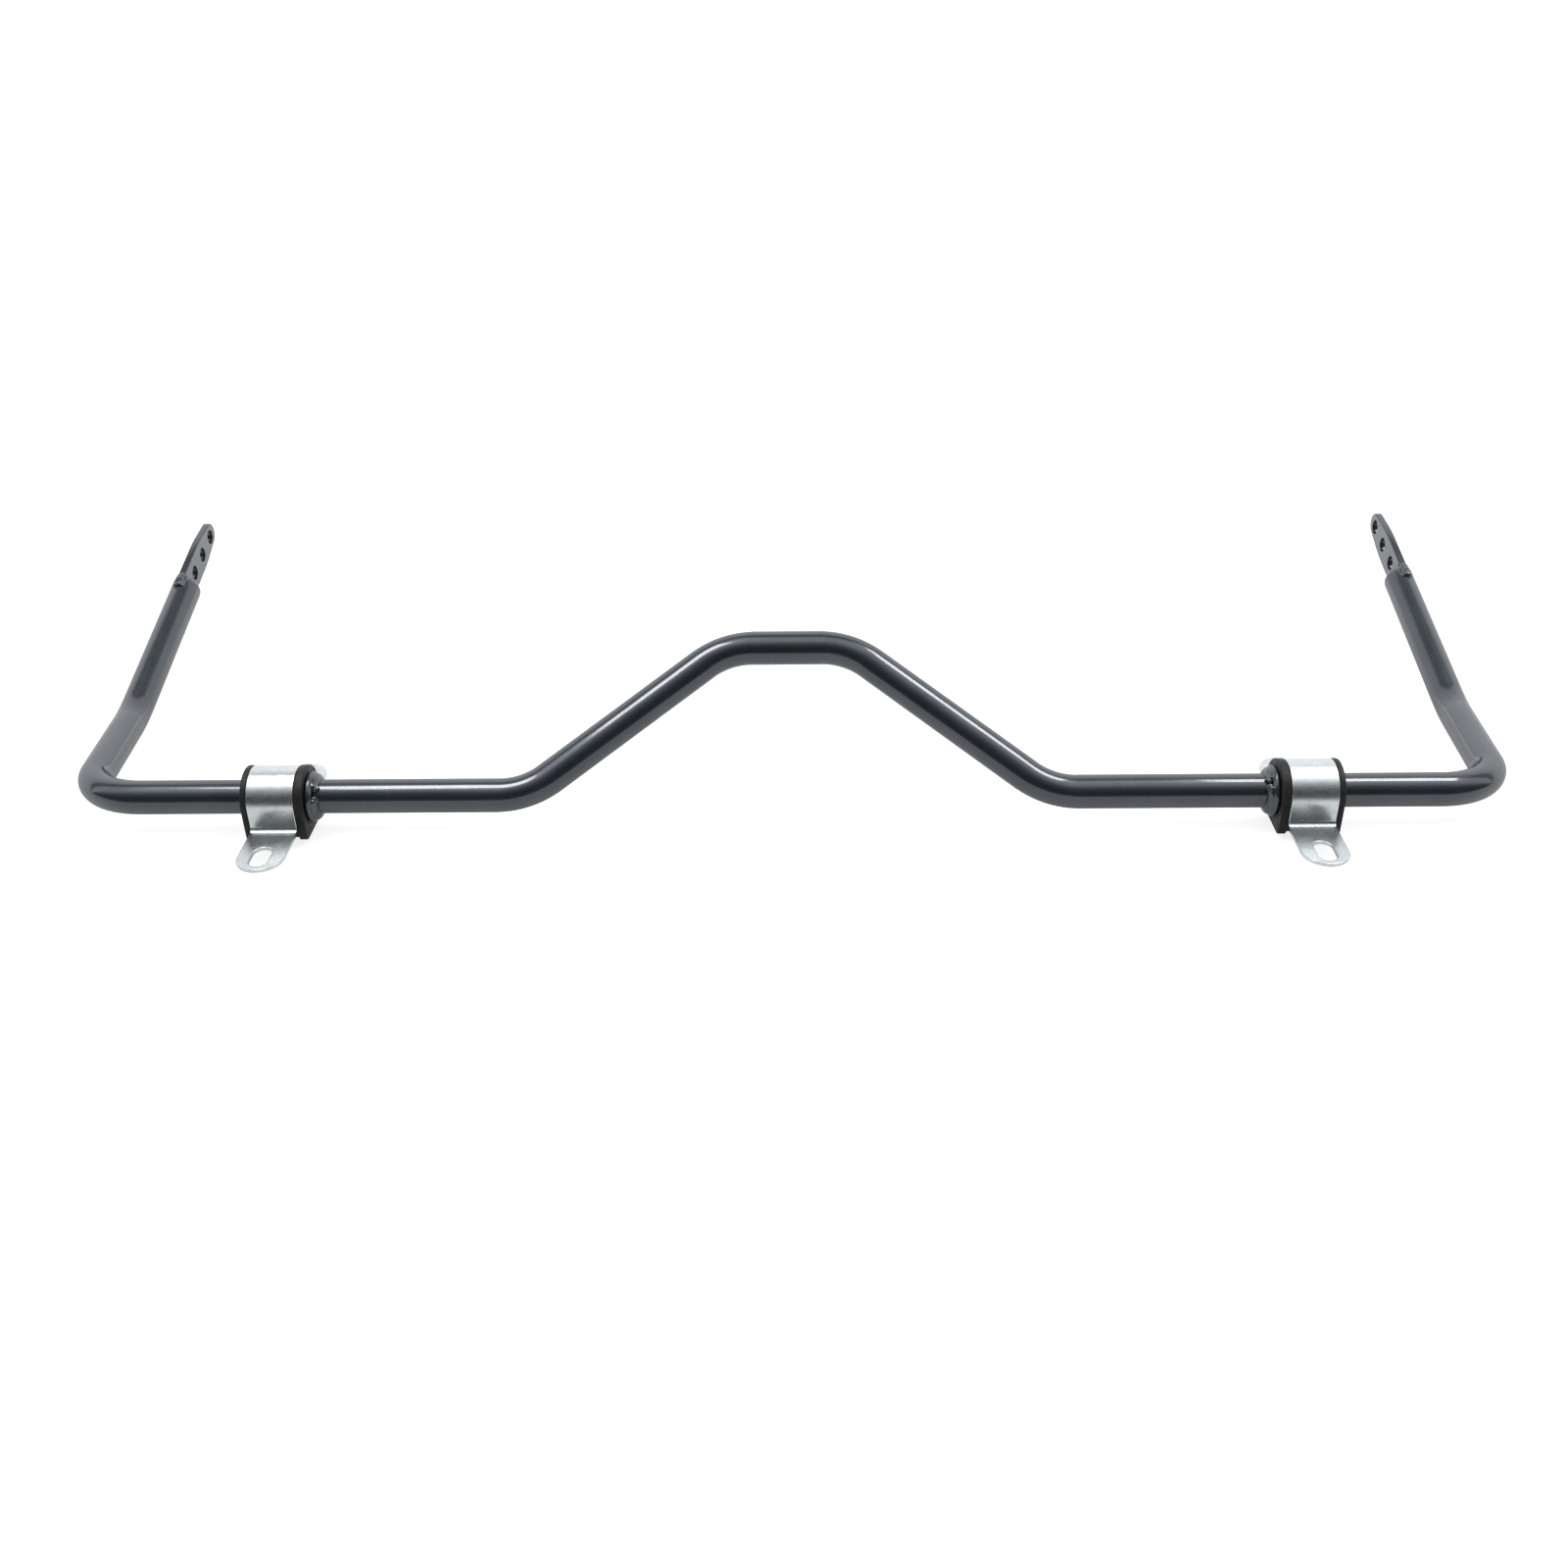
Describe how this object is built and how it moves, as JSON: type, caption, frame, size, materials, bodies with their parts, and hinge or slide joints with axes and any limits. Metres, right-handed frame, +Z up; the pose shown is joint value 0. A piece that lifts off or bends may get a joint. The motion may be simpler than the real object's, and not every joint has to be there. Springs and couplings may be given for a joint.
{
  "type": "sway bar",
  "caption": "Bent round sway bar with a raised centre hump, drilled end blades, welded lock rings, split bushings and slotted saddle brackets.",
  "frame": {"origin": "on the axis of the bar's straight, half way between the two sides", "axes": "+X along the straight, from the left side to the right; +Y from the straight towards the blades; +Z up, out of the saddle brackets' feet"},
  "size_m": [1.1234, 0.4831, 0.1244],
  "materials": {
    "powder_coat": "satin hammertone",
    "coated_weld": "satin",
    "polyurethane": "matte",
    "zinc_plate": "bright zinc plate"
  },
  "bodies": {
    "bar": {"torsion_bar": "powder_coat", "left_end_blade": "powder_coat", "right_end_blade": "powder_coat", "left_upper_blade_weld": "coated_weld", "right_upper_blade_weld": "coated_weld", "left_lower_blade_weld": "coated_weld", "right_lower_blade_weld": "coated_weld", "left_lock_ring": "powder_coat", "right_lock_ring": "powder_coat", "left_upper_ring_weld": "coated_weld", "right_upper_ring_weld": "coated_weld", "left_lower_ring_weld": "coated_weld", "right_lower_ring_weld": "coated_weld"},
    "left_bushing_body": {"left_bushing": "polyurethane"},
    "right_bushing_body": {"right_bushing": "polyurethane"},
    "left_bracket_body": {"left_saddle_bracket": "zinc_plate"},
    "right_bracket_body": {"right_saddle_bracket": "zinc_plate"}
  },
  "joints": [
    {"name": "left_bushing_turn", "type": "hinge", "parent": "bar", "child": "left_bushing_body", "pos_m": [-0.3767, 0, 0], "axis": [1, 0, 0], "continuous": true},
    {"name": "right_bushing_turn", "type": "hinge", "parent": "bar", "child": "right_bushing_body", "pos_m": [0.3813, 0, 0], "axis": [1, 0, 0], "continuous": true},
    {"name": "left_bracket_lift", "type": "slide", "parent": "left_bushing_body", "child": "left_bracket_body", "axis": [0, 0, 1], "range_m": [0, 0.06]},
    {"name": "right_bracket_lift", "type": "slide", "parent": "right_bushing_body", "child": "right_bracket_body", "axis": [0, 0, 1], "range_m": [0, 0.06]}
  ]
}
